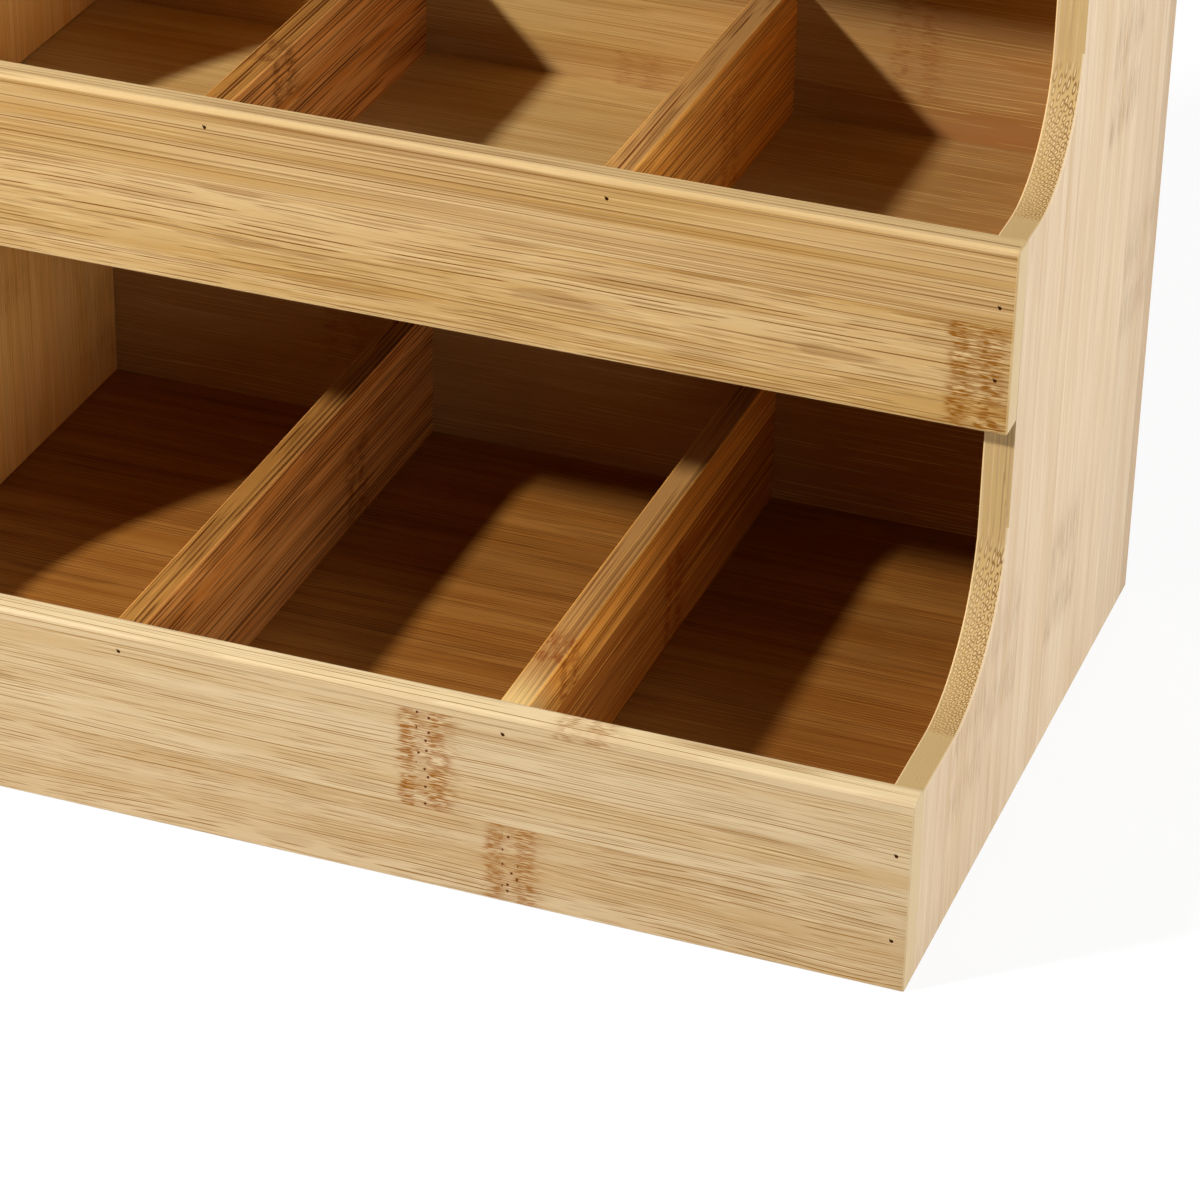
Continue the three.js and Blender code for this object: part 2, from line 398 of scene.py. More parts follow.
def make_knuckles_group():
    """Masks of the knuckles, where the cane's joints cross a strip: brown wash, short dashes, dark pits."""
    inputs = {"Grain": VECTOR, "Offset": FLOAT, "Strength": FLOAT, "Spread": FLOAT}
    w, given = new_group("bamboo_knuckles", inputs, {"Wash": FLOAT, "Dashes": FLOAT, "Pits": FLOAT})
    grain = w.parts(given["Grain"])
    along = w.math("DIVIDE", grain["X"], given["Spread"])
    flat = w.joined(along, w.scaled(grain["Z"], SHEET_LEAN, grain["Y"]), 0.0)
    ragged = w.math("SUBTRACT", w.noise(flat, RAGGED_CELL, 2.0), 0.5)
    offset = w.scaled(ragged, RAGGED, w.math("DIVIDE", given["Offset"], given["Spread"]))
    heart = w.between(w.rise(given["Strength"], *HEART_STRENGTH), *HEART_FILL)
    filled = w.larger(w.window(offset, *COMB), w.window(offset, *TAIL), heart)
    beside = w.product(filled, w.window(offset, *KNUCKLE_REACH), given["Strength"])
    clumps = w.rise(w.noise(flat, CLUMP_CELL), *CLUMP_SHOWS)
    dashes = w.rise(w.noise(flat, DASH_CELL), *DASH_SHOWS)
    wash = w.rise(w.noise(flat, WASH_CELL), *WASH_SHOWS)
    pits = w.cells(flat, PIT_CELL)
    is_pit = w.fall(pits["Distance"], *PIT_RADIUS)
    is_open = w.rise(w.parts(pits["Color"])["X"], *PIT_SHOWS)
    in_row = w.window(given["Offset"], *PIT_ROW)
    is_pitted = w.window(given["Strength"], *PITTED_STRENGTH)
    return close_group(w, {
        "Wash": w.product(beside, wash),
        "Dashes": w.product(beside, clumps, dashes),
        "Pits": w.product(is_pit, is_open, in_row, is_pitted),
    })


# Cut fibre bundles: how they lean and stand through the board, their spacing and how unevenly they lie
BUNDLE_LEAN = 0.5
BUNDLE_STAND = 0.9
BUNDLE_CELL = 0.82
BUNDLE_SPREAD = 0.35

# Their rings and hearts: from a slanting to a square cut, a ring's radius there, its fade, and a heart's fade
SQUARE_CUT = (0.2, 0.9)
RING_RADIUS = (0.29, 0.39)
RING_FADE = (0.03, 0.14)
HEART_FADE = (0.10, 0.28)

# How much the bundles show on a slanting cut and on a board's end, and on the reverse and on the face
CUT_SHOWN = (1.0, 0.15)
RING_SHOWN = (0.4, 1.0)


def make_end_dots_group():
    """Masks of the cut fibre bundles on an edge that crosses the grain: dark rings round pale hearts."""
    inputs = {"Grain": VECTOR, "Crossing": FLOAT, "Outward": FLOAT}
    w, given = new_group("bamboo_end_dots", inputs, {"Rings": FLOAT, "Hearts": FLOAT})
    grain = w.parts(given["Grain"])
    across = w.scaled(grain["Z"], BUNDLE_LEAN, grain["Y"])
    staggered = w.joined(across, w.product(grain["Z"], BUNDLE_STAND), 0.0)
    distance = w.cells(staggered, BUNDLE_CELL, BUNDLE_SPREAD)["Distance"]
    is_end = w.rise(given["Crossing"], *BOARD_END)
    is_cut = w.product(w.rise(given["Crossing"], *FIBRES_CUT), w.between(is_end, *CUT_SHOWN))
    radius = w.between(w.rise(given["Crossing"], *SQUARE_CUT), *RING_RADIUS)
    ring = w.fall(w.distance(distance, radius), *RING_FADE)
    return close_group(w, {
        "Rings": w.product(ring, is_cut, w.between(given["Outward"], *RING_SHOWN)),
        "Hearts": w.product(w.fall(distance, *HEART_FADE), is_cut),
    })


strips_group = make_strips_group()
figure_group = make_figure_group(make_lines_group())
knuckles_group = make_knuckles_group()
end_dots_group = make_end_dots_group()

# Tones of a board's faces, then of its edges: their own, that of the lines and rings on them, and of its ends
# and of painted light on a strip's front stretch
TONES = ("Straw", "Pale", "Streak", "Knuckle", "Core", "Ring", "End")
# Dark brown of the knuckles' pits, also put on the pin holes' walls as painted shade
PIT_AND_HOLE_SHADE_COLOUR = srgb(92, 36, 0)

# How much of each mark shows where it is strongest, and light lines on a face and on a rim
SHOWN = {
    "Core": 0.85, "Broad": 0.35, "Fine": 0.5, "Seam": 0.35, "Wash": 0.5, "Dashes": 0.9, "Hearts": 0.25,
    "Wear_And_Highlight": 0.4, "Ring": 0.8,
}
LIGHT_SHOWN = (0.7, 0.2)

# How much of the lines shows on plain wood and under painted light on a strip's front stretch, and how the
# fibres change brightness and roughness
LIT_FRONT_LINES = (1.0, 0.4)
FIBRE_GREY = (0.89, 1.11)
FIBRE_ROUGHNESS = (0.40, 0.65)

# How much rougher dashes and pits are, and how high lines and seams stand beside the fibres
MARK_ROUGHNESS = 0.25
LINE_HEIGHT = -0.5


def make_bamboo_group():
    """Colour, roughness and height of finished bamboo."""
    floats = (
        "Run", "Coarse", "Brown_And_Shade", "Lit_Front", "Seam", "Offset", "Strength", "Spread",
        "Crossing", "Rim", "Outward", "Wear_And_Highlight", "Hole_Shade",
    )
    inputs = {"Grain": VECTOR, **dict.fromkeys(floats, FLOAT), **dict.fromkeys(TONES, COLOUR)}
    w, given = new_group("bamboo", inputs, {"Color": COLOUR, "Roughness": FLOAT, "Height": FLOAT})

    def masks(group, *names):
        return w.group(group, {name: given[name] for name in names})

    figure = masks(figure_group, "Grain", "Run", "Coarse")
    knuckle = masks(knuckles_group, "Grain", "Offset", "Strength", "Spread")
    dots = masks(end_dots_group, "Grain", "Crossing", "Outward")
    streaky = w.product(w.fall(given["Crossing"], *LINES_FADE), w.between(given["Lit_Front"], *LIT_FRONT_LINES))
    # Board ends, and painted light on a strip's front stretch, take the end tone
    ends_and_lit_front = w.larger(w.rise(given["Crossing"], *BOARD_END), given["Lit_Front"])
    bold = w.product(figure["Bold"], streaky)
    off_eased_edge = w.math("SUBTRACT", 1.0, given["Wear_And_Highlight"])
    streak = w.blend(w.product(given["Rim"], given["Outward"], SHOWN["Ring"]), given["Streak"], given["Ring"])
    # Knuckle pits, and the pin holes' walls painted dark as painted shade
    pits = w.larger(knuckle["Pits"], given["Hole_Shade"])

    colour = w.blend(figure["Bands"], given["Straw"], given["Pale"])
    for share, tone in (
        # Browner strips: their own tone, and painted shade on the back's lowest strips and on far ends
        (given["Brown_And_Shade"], given["Knuckle"]),
        (w.product(given["Rim"], SHOWN["Core"]), given["Core"]),
        (ends_and_lit_front, given["End"]),
        (w.product(figure["Light"], streaky, w.between(given["Rim"], *LIGHT_SHOWN)), given["Pale"]),
        (w.product(figure["Broad"], streaky, SHOWN["Broad"]), streak),
        (w.product(figure["Fine"], streaky, SHOWN["Fine"]), streak),
        (bold, streak),
        (w.product(given["Seam"], streaky, SHOWN["Seam"]), streak),
        (w.product(knuckle["Wash"], streaky, SHOWN["Wash"]), given["Knuckle"]),
        (w.product(knuckle["Dashes"], streaky, SHOWN["Dashes"]), given["Knuckle"]),
        (w.product(dots["Rings"], off_eased_edge), given["Ring"]),
        (w.product(dots["Hearts"], off_eased_edge, SHOWN["Hearts"]), given["Pale"]),
        # Eased edges paler: partly sanding wear, partly a painted highlight where a rounded edge catches the
        # light
        (w.product(given["Wear_And_Highlight"], SHOWN["Wear_And_Highlight"]), given["Pale"]),
        (pits, PIT_AND_HOLE_SHADE_COLOUR),
    ):
        colour = w.blend(share, colour, tone)
    grey = w.between(figure["Fibre"], *FIBRE_GREY)
    colour = w.blend(1.0, colour, w.joined(grey, grey, grey), "MULTIPLY")

    height = w.scaled(w.larger(bold, given["Seam"]), LINE_HEIGHT, figure["Fibre"])
    roughness = w.between(figure["Fibre"], *FIBRE_ROUGHNESS)
    roughness = w.scaled(w.larger(knuckle["Dashes"], pits), MARK_ROUGHNESS, roughness)
    return close_group(w, {"Color": colour, "Roughness": roughness, "Height": height})


bamboo_group = make_bamboo_group()

# Grain axes of a board: along the grain, across the strips, through the thickness
ACROSS_CASE = (Vector((1, 0, 0)), Vector((0, 0, 1)), Vector((0, -1, 0)))
FLAT_ACROSS_CASE = (Vector((1, 0, 0)), Vector((0, 1, 0)), Vector((0, 0, 1)))
FRONT_TO_BACK = (Vector((0, 1, 0)), Vector((0, 0, 1)), Vector((1, 0, 0)))
UPRIGHT = {
    "left": (Vector((0, 0, 1)), Vector((0, 1, 0)), Vector((-1, 0, 0))),
    "right": (Vector((0, 0, 1)), Vector((0, -1, 0)), Vector((1, 0, 0))),
}


class Strip(NamedTuple):
    """A strip of a board, with the usual values: where along it the knuckle is and how strong, how many times
    as long as usual its lines run, how much browner it is from its own tone and, on the back, from painted
    shade, and how much painted light pales it in front of the knuckle."""
    number: int
    knuckle: float = 0.0
    strength: float = 0.0
    run: float = 1.0
    brown_and_shade: float = 0.1
    lit_front: float = 0.0


class Look(NamedTuple):
    """A board's finish: its tones, its random key, the strips that aren't usual, how much painted shade
    browns its far end, how many times as wide as usual its lines are and as long its knuckles, and the tones
    of its reverse, which is the side that holds the origin of its grain."""
    tones: dict
    seed: int
    strips: tuple = ()
    far_end_shade: float = 0.0
    coarse: float = 1.0
    spread: float = 1.0
    reverse_tones: dict | None = None


# How brown a strip's own random shade makes it at most
SHADE_BROWN = 0.16

# In millimetres along the grain: where painted shade browns a board's far end, and where painted light before
# a knuckle fades out
END_SHADE_STRETCH = (0.0, 90.0)
LIT_FRONT_EDGE = (-24.0, -4.0)

# Strip numbers that differ by less than this are the same
SAME_STRIP = 0.5

# Sheen of a bare finish, and the bump of its fibres
SHEEN = 0.12
BUMP_STRENGTH = 0.2
BUMP_DEPTH = 0.15 * MM


def chosen_strip(w, number, strips):
    """The values of the strip with this number, by name."""
    usual = Strip(0)._asdict()
    values = dict(usual)
    for strip in strips:
        is_here = w.math("COMPARE", number, float(strip.number), SAME_STRIP)
        for name in Strip._fields[1:]:
            change = getattr(strip, name) - usual[name]
            if change:
                values[name] = w.scaled(is_here, change, values[name])
    return values


def grain_place(w, coordinates, axes, origin):
    """The place in millimetres along a board's grain axes from its origin."""
    turn = Matrix(axes)
    return w.node("ShaderNodeMapping", {
        "Vector": coordinates["Object"],
        "Location": turn @ origin * (-1 / MM),
        "Rotation": turn.to_euler(),
        "Scale": (1 / MM,) * 3,
    }).outputs[0]


def marked(w, name):
    """A mark that a mesh carries."""
    return w.node("ShaderNodeAttribute", {}, attribute_name=name).outputs["Fac"]


def bamboo_material(name, axes, origin, look):
    """A bamboo finish with this look, whose grain follows these axes from this origin."""
    material, w = new_material(name)
    coordinates = w.node("ShaderNodeTexCoord", {}).outputs
    place = grain_place(w, coordinates, axes, origin)
    strips = w.group(strips_group, {"Place": place, "Seed": float(look.seed)})
    strip = chosen_strip(w, strips["Strip"], look.strips)
    along = w.parts(place)["X"]
    # A strip's own random tone and its set browning, which on the back's lowest strips is painted shade
    brown_and_shade = w.scaled(strips["Shade"], SHADE_BROWN, strip["brown_and_shade"])
    # Painted shade: the far end of the grain browns, as if the light fell off towards it
    brown_and_shade = w.scaled(w.rise(along, *END_SHADE_STRETCH), look.far_end_shade, brown_and_shade)
    offset = w.math("SUBTRACT", along, strip["knuckle"])
    from_face = w.math("ABSOLUTE", w.dot(coordinates["Normal"], axes[2]))
    rim = w.fall(from_face, *RIM_FADE)
    outward = w.math("DIVIDE", w.parts(place)["Z"], BOARD_THICKNESS)
    tones = look.tones
    # Two tones through a board: on the side panels and the back, the inner faces carry painted shade
    if look.reverse_tones:
        is_face = w.larger(w.rise(outward, *FACE_START), rim)
        tones = {tone: w.blend(is_face, look.reverse_tones[tone], tones[tone]) for tone in TONES}
    wood = w.group(bamboo_group, {
        "Grain": strips["Grain"],
        "Run": strip["run"],
        "Coarse": look.coarse,
        "Brown_And_Shade": brown_and_shade,
        # Painted light: a strip's front stretch before its knuckle paler, where more light reaches it
        "Lit_Front": w.product(w.fall(offset, *LIT_FRONT_EDGE), strip["lit_front"]),
        "Seam": strips["Seam"],
        "Offset": offset,
        "Strength": strip["strength"],
        "Spread": look.spread,
        "Crossing": w.math("ABSOLUTE", w.dot(coordinates["Normal"], axes[0])),
        "Rim": rim,
        "Outward": outward,
        # Eased faces, which the finish paints paler: partly wear, partly a painted highlight
        "Wear_And_Highlight": marked(w, "edge"),
        "Hole_Shade": marked(w, "hole"),
        **tones,
    })
    bump = w.node("ShaderNodeBump", {
        "Height": wood["Height"],
        "Strength": BUMP_STRENGTH,
        "Distance": BUMP_DEPTH,
    })
    shader = w.node("ShaderNodeBsdfPrincipled", {
        "Base Color": wood["Color"],
        "Roughness": wood["Roughness"],
        "Normal": bump.outputs[0],
        "Specular IOR Level": SHEEN,
    })
    w.node("ShaderNodeOutputMaterial", {"Surface": shader.outputs[0]})
    return material


def tone_set(*colours):
    """A board's tones by name, from colours as they show on a screen."""
    return {name: srgb(*colour) for name, colour in zip(TONES, colours)}


LOWER_RAIL_TONES = tone_set(
    (195, 166, 120), (209, 186, 147), (136, 92, 20), (142, 86, 18),
    (225, 202, 158), (162, 118, 56), (209, 184, 143),
)
UPPER_RAIL_TONES = tone_set(
    (184, 145, 83), (208, 178, 127), (115, 66, 0), (134, 82, 14),
    (203, 176, 127), (152, 106, 42), (213, 188, 147),
)
# Side panels' outer faces: paler and pinker, partly their own tone and partly a painted sheen of the light
# from the right
SIDE_OUTER_SHEEN_TONES = tone_set(
    (227, 199, 160), (239, 217, 185), (198, 163, 122), (168, 138, 108),
    (181, 148, 88), (112, 70, 22), (187, 158, 108),
)
# Side panels' inner faces: a deeper, more saturated orange, as painted shade
SIDE_INNER_SHADE_TONES = tone_set(
    (245, 191, 103), (250, 206, 126), (200, 140, 60), (176, 120, 56),
    (181, 148, 88), (112, 70, 22), (187, 158, 108),
)
LOWER_FLOOR_TONES = tone_set(
    (154, 98, 37), (170, 116, 52), (90, 44, 8), (86, 44, 12),
    (156, 106, 46), (84, 42, 6), (156, 106, 46),
)
SHELF_TONES = tone_set(
    (202, 166, 101), (212, 180, 117), (162, 116, 54), (122, 66, 10),
    (194, 148, 88), (140, 80, 6), (194, 148, 88),
)
# Back's inner face: a redder knuckle tone than the outer face, which also gives painted shade to the lowest
# strips and the right end
BACK_TONES = tone_set(
    (184, 149, 86), (196, 164, 104), (148, 104, 46), (126, 57, 6),
    (176, 134, 76), (122, 68, 4), (176, 134, 76),
)
BACK_OUTER_TONES = tone_set(
    (190, 152, 92), (202, 168, 110), (154, 110, 54), (152, 110, 56),
    (176, 134, 76), (122, 68, 4), (176, 134, 76),
)
DARK_DIVIDER_TONES = tone_set(
    (214, 134, 55), (240, 172, 94), (84, 36, 4), (96, 46, 8),
    (152, 106, 47), (84, 46, 14), (152, 106, 47),
)
PALE_DIVIDER_TONES = tone_set(
    (228, 150, 56), (244, 178, 86), (104, 44, 4), (124, 54, 6),
    (170, 128, 76), (84, 44, 14), (228, 194, 128),
)

# Steel of the sunk pins
PIN_TONES = (srgb(66, 34, 8), srgb(104, 62, 22))
PIN_SPECKLE = 0.15 * MM
PIN_ROUGHNESS = (0.5, 0.8)


def pin_material():
    """Dull steel of the sunk pins, speckled."""
    material, w = new_material("pin_steel")
    place = w.node("ShaderNodeTexCoord", {}).outputs["Object"]
    speckle = w.noise(place, (PIN_SPECKLE,) * 3, 2.0)
    shader = w.node("ShaderNodeBsdfPrincipled", {
        "Base Color": w.blend(speckle, *PIN_TONES),
        "Metallic": 1.0,
        "Roughness": w.between(speckle, *PIN_ROUGHNESS),
    })
    w.node("ShaderNodeOutputMaterial", {"Surface": shader.outputs[0]})
    return material


def box_mesh(node):
    """A bmesh box that fills a solid's own box."""
    low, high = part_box(node)
    bm = bmesh.new()
    bmesh.ops.create_cube(bm, size=1.0)
    bmesh.ops.scale(bm, vec=high - low, verts=bm.verts)
    bmesh.ops.translate(bm, vec=(low + high) / 2, verts=bm.verts)
    return bm


def mark(bm, faces, name):
    """Sets a layer of the mesh to 1 on these faces, for the finish to read."""
    layer = bm.loops.layers.float.get(name) or bm.loops.layers.float.new(name)
    for face in faces:
        for loop in face.loops:
            loop[layer] = 1.0


def ease(bm, edges, width, steps=EASE_STEPS):
    """Rounds these edges and marks the rounded faces."""
    rounded = bmesh.ops.bevel(
        bm, geom=edges, offset=width, offset_type="OFFSET", affect="EDGES",
        segments=steps, profile=0.5, material=-1,
    )
    # The finish paints these rounded faces paler: partly wear, partly a painted highlight
    mark(bm, rounded["faces"], "edge")


def sharp_edges(bm, wanted):
    """The edges between faces that meet at an angle, where their middle passes a test."""
    return [
        edge for edge in bm.edges
        if edge.calc_face_angle(0) > SHARP_ANGLE and wanted((edge.verts[0].co + edge.verts[1].co) / 2)
    ]


def finish_piece(name, bm, node, material):
    """Makes the piece that stands for a solid: its mesh, finish and place in the part."""
    mesh = bpy.data.meshes.new(name)
    bmesh.ops.remove_doubles(bm, verts=bm.verts[:], dist=WELD)
    for face in bm.faces:
        face.smooth = True
    bm.to_mesh(mesh)
    bm.free()
    mesh.set_sharp_from_angle(angle=SHARP_ANGLE)
    piece = bpy.data.objects.new(name, mesh)
    bpy.context.scene.collection.objects.link(piece)
    mesh.materials.append(material)
    normals = piece.modifiers.new("flat faces", "WEIGHTED_NORMAL")
    normals.keep_sharp = True
    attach(piece, "root")
    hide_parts(node)


def front_face_at(bm, place):
    """The front-facing face that holds a place on the front plane."""
    for face in bm.faces:
        if face.normal.y > -FACING:
            continue
        xs = [vert.co.x for vert in face.verts]
        zs = [vert.co.z for vert in face.verts]
        if min(xs) <= place.x <= max(xs) and min(zs) <= place.z <= max(zs):
            return face


def drill(bm, place):
    """Sinks an eight-sided hole with one torn corner into the front at a place, and marks its walls, which
    the finish paints dark as painted shade.
    """
    for axis in (0, 2):
        for side in (-1, 1):
            face = front_face_at(bm, place)
            cut = place.copy()
            cut[axis] += side * PIN_HOLE_RADIUS
            normal = Vector((0, 0, 0))
            normal[axis] = 1
            geom = [face, *face.edges, *face.verts]
            bmesh.ops.bisect_plane(bm, geom=geom, dist=WELD, plane_co=cut, plane_no=normal)
            bm.normal_update()
    square = front_face_at(bm, place)
    bmesh.ops.bevel(
        bm, geom=square.verts[:], offset=PIN_HOLE_RADIUS * OCTAGON_CUT, offset_type="OFFSET",
        affect="VERTICES", segments=1, profile=0.5, material=-1,
    )
    bm.normal_update()
    mouth = front_face_at(bm, place)
    torn_corner = max(mouth.verts, key=lambda vert: vert.co.dot(PIN_HOLE_TEAR_SIDE))
    torn_corner.co += PIN_HOLE_TEAR
    bottom = bmesh.ops.extrude_discrete_faces(bm, faces=[mouth])["faces"][0]
    bmesh.ops.translate(bm, vec=(0, PIN_HOLE_DEPTH, 0), verts=bottom.verts[:])
    walls = {face for edge in bottom.edges for face in edge.link_faces}
    mark(bm, walls, "hole")


def pin_places(tier):
    """Middles of the pins in one rail, on the pins' outer ends."""
    names = [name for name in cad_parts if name.startswith(f"{tier}_rail_pin")]
    boxes = [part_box(name) for name in sorted(names)]
    return [Vector(((low.x + high.x) / 2, low.y, (low.z + high.z) / 2)) for low, high in boxes]


def make_rail(tier, material):
    """A rail with rounded top edges, eased ends and a hole round each pin."""
    node = f"{tier}_rail"
    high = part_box(node)[1]
    bm = box_mesh(node)

    def is_long_top(place):
        return place.z > high.z - HAND_EASE and abs(place.x) < HAND_EASE

    def meets_hand(place):
        on_end = abs(place.x) > high.x - HAND_EASE
        is_back_end = on_end and place.y > high.y - HAND_EASE
        return not is_back_end

    ease(bm, sharp_edges(bm, is_long_top), RAIL_EASE, RAIL_EASE_STEPS)
    ease(bm, sharp_edges(bm, meets_hand), HAND_EASE)
    bm.normal_update()
    for place in pin_places(tier):
        drill(bm, place)
    finish_piece(f"{tier}_front_rail", bm, node, material)


def make_divider(tier, side, material):
    """A low divider with eased top edges."""
    node = f"{tier}_{side}_divider"
    low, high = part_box(node)
    middle_y = (low.y + high.y) / 2
    bm = box_mesh(node)

    def is_long_top(place):
        return place.z > high.z - ARRIS_EASE and abs(place.y - middle_y) < ARRIS_EASE

    ease(bm, sharp_edges(bm, is_long_top), HAND_EASE)
    finish_piece(f"{tier}_{side}_bin_divider", bm, node, material)


def make_bin_floor(tier, material):
    """The board under one tier's bins, with its arrises taken off."""
    node = FLOORS[tier]
    bm = box_mesh(node)
    ease(bm, bm.edges[:], ARRIS_EASE)
    finish_piece(f"{tier}_bin_floor", bm, node, material)


def make_back(material):
    """The back panel with eased top and bottom edges."""
    bm = box_mesh("back_panel")
    ends = sharp_edges(bm, lambda place: abs(place.x) < ARRIS_EASE)
    ease(bm, ends, HAND_EASE)
    finish_piece("back_board", bm, "back_panel", material)


def draw_to(bm, vert, y, z):
    """A new vertex joined to this one by an edge."""
    made = bmesh.ops.extrude_vert_indiv(bm, verts=[vert])["verts"][0]
    made.co = (vert.co.x, y, z)
    return made


def sweep(bm, vert, centre, angle):
    """An arc of edges from this vertex round a line along x; gives its last vertex."""
    made = bmesh.ops.spin(
        bm, geom=[vert], cent=centre, axis=(1, 0, 0), angle=angle, steps=CURVE_STEPS, use_merge=False,
    )
    return next(item for item in made["geom_last"] if isinstance(item, bmesh.types.BMVert))


def side_outline(bm, x):
    """The outline of a side panel: up behind each rail, along a flat, round a hollow curve to the next."""
    case_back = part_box("left_side_panel")[1].y
    case_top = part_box("back_panel")[1].z
    first = bm.verts.new((x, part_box("lower_rail")[1].y, 0))
    last = first
    for index, tier in enumerate(TIERS):
        rail_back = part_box(f"{tier}_rail")[1].y
        flat_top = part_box(f"{tier}_left_divider")[1].z
        last = draw_to(bm, last, rail_back, flat_top)
        if tier in CURVE_RADIUS:
            radius = CURVE_RADIUS[tier]
            rail_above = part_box(f"{TIERS[index + 1]}_rail")
            curve_start = rail_above[1].y - radius
            last = draw_to(bm, last, curve_start, flat_top)
            last = sweep(bm, last, (x, curve_start, flat_top + radius), math.pi / 2)
            last = draw_to(bm, last, rail_above[1].y, rail_above[0].z)
    last = draw_to(bm, last, case_back, case_top)
    last = draw_to(bm, last, case_back, 0)
    bm.edges.new((last, first))
    bmesh.ops.contextual_create(bm, geom=bm.edges[:])


def grooves():
    """Lowest and highest y, then z, of each groove in a side panel."""
    back_low, back_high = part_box("back_panel")
    back_start = back_low.y - GROOVE_GAP
    found = [(back_start, back_high.y + GROOVE_GAP, -FAR, FAR)]
    for node in FLOORS.values():
        low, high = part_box(node)
        found.append((-FAR, back_start, low.z - GROOVE_GAP, high.z + GROOVE_GAP))
    return found


def in_groove(place, slack=0.0):
    return any(
        y_low - slack < place.y < y_high + slack and z_low - slack < place.z < z_high + slack
        for y_low, y_high, z_low, z_high in grooves()
    )


def cut_across(bm, normal, places):
    """Cuts all faces along planes with this normal, once at each of these places along it."""
    for place in sorted(set(places)):
        geom = bm.verts[:] + bm.edges[:] + bm.faces[:]
        bmesh.ops.bisect_plane(bm, geom=geom, dist=WELD, plane_co=normal * place, plane_no=normal)


def push_out(bm, faces, distance):
    """Extrudes faces along x."""
    made = bmesh.ops.extrude_face_region(bm, geom=faces)["geom"]
    verts = [item for item in made if isinstance(item, bmesh.types.BMVert)]
    bmesh.ops.translate(bm, vec=(distance, 0, 0), verts=verts)


def behind_rail(place):
    for tier in TIERS:
        low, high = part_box(f"{tier}_rail")
        if abs(place.y - high.y) < ARRIS_EASE and low.z - ARRIS_EASE < place.z < high.z:
            return True
    return False


def side_faces(side):
    """The x of a side panel's inner and outer face."""
    low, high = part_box(f"{side}_side_panel")
    return (low.x, high.x) if SIDES[side] > 0 else (high.x, low.x)


def make_side(side, material):
    """A side panel with hollow curves, grooves for the floors and the back, and eased edges."""
    inner, outer = side_faces(side)
    groove_bottom = inner + SIDES[side] * GROOVE_DEPTH
    bm = bmesh.new()
    side_outline(bm, groove_bottom)
    cut_across(bm, Vector((0, 1, 0)), [y for groove in grooves() for y in groove[:2]])
    cut_across(bm, Vector((0, 0, 1)), [z for groove in grooves() for z in groove[2:]])
    push_out(bm, bm.faces[:], outer - groove_bottom)
    lands = [
        face for face in bm.faces
        if abs(face.normal.x) > FACING and abs(face.calc_center_median().x - groove_bottom) < ARRIS_EASE
        and not in_groove(face.calc_center_bounds())
    ]
    push_out(bm, lands, inner - groove_bottom)
    bmesh.ops.delete(bm, geom=lands, context="FACES")
    bmesh.ops.dissolve_limit(bm, angle_limit=FLAT_ANGLE, verts=bm.verts[:], edges=bm.edges[:])
    bmesh.ops.recalc_face_normals(bm, faces=bm.faces[:])

    def meets_hand(place):
        on_outer_face = abs(place.x - outer) < ARRIS_EASE
        return not behind_rail(place) and (on_outer_face or not in_groove(place, GROOVE_GAP))

    ease(bm, sharp_edges(bm, meets_hand), HAND_EASE)
    finish_piece(f"{side}_case_side", bm, f"{side}_side_panel", material)


def white_share(w):
    """1 for rays that the camera, gloss or glass sees, 0 for the light that falls on the object."""
    path = w.node("ShaderNodeLightPath", {}).outputs
    seen = w.math("ADD", path["Is Camera Ray"], path["Is Glossy Ray"])
    seen = w.math("ADD", seen, path["Is Transmission Ray"])
    return w.math("MINIMUM", seen, 1.0)


def floor_material():
    """White paper floor that keeps a soft shadow."""
    material, w = new_material("white_floor")
    share = white_share(w)
    grey = w.between(share, FLOOR_BOUNCE, 1.0)
    paper = w.node("ShaderNodeBsdfDiffuse", {"Color": w.joined(grey, grey, grey)}).outputs[0]
    glow = w.node("ShaderNodeEmission", {"Color": WHITE, "Strength": 1.0}).outputs[0]
    mixed = w.node("ShaderNodeMixShader", {0: w.product(share, FLOOR_GLOW), 1: paper, 2: glow}).outputs[0]
    w.node("ShaderNodeOutputMaterial", {"Surface": mixed})
    return material


def make_studio_floor():
    bm = bmesh.new()
    bmesh.ops.create_grid(bm, x_segments=1, y_segments=1, size=FLOOR_SIZE / 2)
    mesh = bpy.data.meshes.new("studio_floor")
    bm.to_mesh(mesh)
    bm.free()
    mesh.materials.append(floor_material())
    floor = bpy.data.objects.new("studio_floor", mesh)
    bpy.context.scene.collection.objects.link(floor)


def make_world():
    world = bpy.data.worlds.new("white_studio")
    world.use_nodes = True
    world.node_tree.nodes.clear()
    w = Wiring(world.node_tree)
    strength = w.between(white_share(w), FILL_LEVEL, 1.0)
    sky = w.node("ShaderNodeBackground", {"Color": WHITE, "Strength": strength}).outputs[0]
    w.node("ShaderNodeOutputWorld", {"Surface": sky})
    bpy.context.scene.world = world


def make_lamp(name, place, size, power, shape):
    data = bpy.data.lights.new(name, "AREA")
    data.shape = shape
    data.size = size
    data.energy = power
    lamp = bpy.data.objects.new(name, data)
    lamp.location = place
    lamp.rotation_euler = (LIT_CENTRE - place).to_track_quat("-Z", "Y").to_euler()
    bpy.context.scene.collection.objects.link(lamp)


